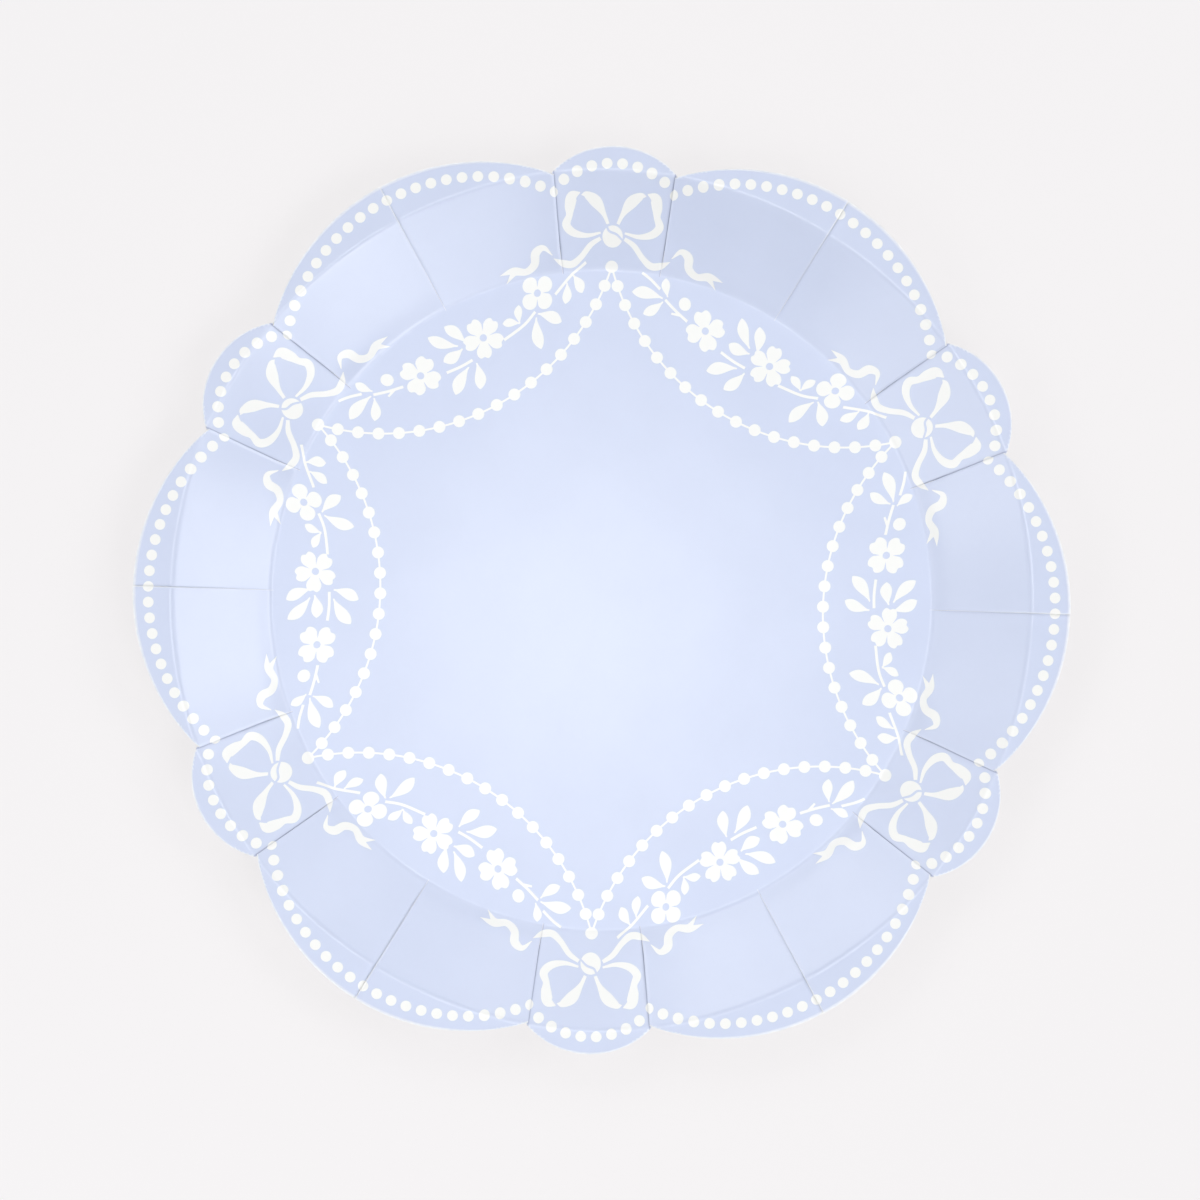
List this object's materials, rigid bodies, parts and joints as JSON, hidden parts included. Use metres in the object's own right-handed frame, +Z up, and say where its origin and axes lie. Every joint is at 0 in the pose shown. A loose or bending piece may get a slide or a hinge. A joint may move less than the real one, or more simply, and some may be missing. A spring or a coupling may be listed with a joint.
{
  "type": "side plate",
  "caption": "Pressed paperboard side plate with a flat well, a slit and lapped wall, a level flange and a scalloped rim of large and small lobes.",
  "frame": {"origin": "middle of the flat underside, on the surface that the plate stands on", "axes": "+Z up out of the well, +Y through the middle of a small lobe, +X through the middle of a large lobe"},
  "size_m": [0.209, 0.2026, 0.011],
  "materials": {
    "coated_board": "satin"
  },
  "bodies": {
    "root": {"well_floor": "coated_board", "small_lobe_1": "coated_board", "small_lobe_2": "coated_board", "small_lobe_3": "coated_board", "small_lobe_4": "coated_board", "small_lobe_5": "coated_board", "small_lobe_6": "coated_board", "large_lobe_left_1": "coated_board", "large_lobe_left_2": "coated_board", "large_lobe_left_3": "coated_board", "large_lobe_left_4": "coated_board", "large_lobe_left_5": "coated_board", "large_lobe_left_6": "coated_board", "large_lobe_right_1": "coated_board", "large_lobe_right_2": "coated_board", "large_lobe_right_3": "coated_board", "large_lobe_right_4": "coated_board", "large_lobe_right_5": "coated_board", "large_lobe_right_6": "coated_board"}
  },
  "joints": []
}
